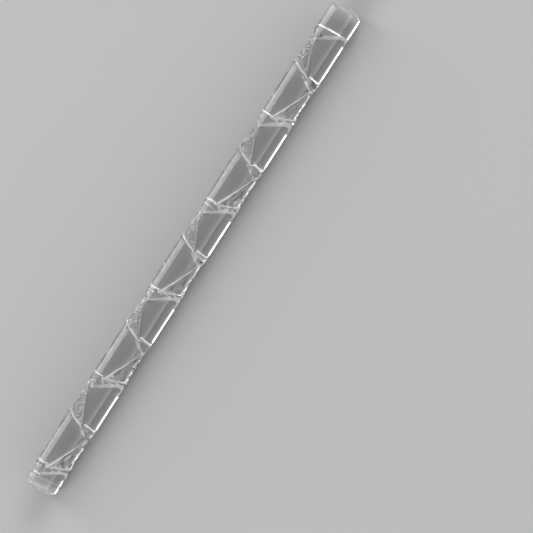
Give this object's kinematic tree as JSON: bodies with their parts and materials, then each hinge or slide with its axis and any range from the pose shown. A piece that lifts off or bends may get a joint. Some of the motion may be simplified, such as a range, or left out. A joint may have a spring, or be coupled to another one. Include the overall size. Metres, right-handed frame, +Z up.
{
  "type": "textured rolling pin",
  "caption": "Slim solid rolling pin of clear acrylic without handles; shallow rhombic pockets around it print raised texture into clay.",
  "frame": {"origin": "on the support plane, under the middle of the rod", "axes": "+X along the rod towards the end with the longer plain land, +Z up, -Y towards the side from which the picture was taken"},
  "size_m": [0.33, 0.02, 0.02],
  "materials": {
    "clear_acrylic": "polished clear acrylic, with streaky frosted pocket floors"
  },
  "bodies": {
    "root": {"textured_rod": "clear_acrylic"}
  },
  "joints": []
}
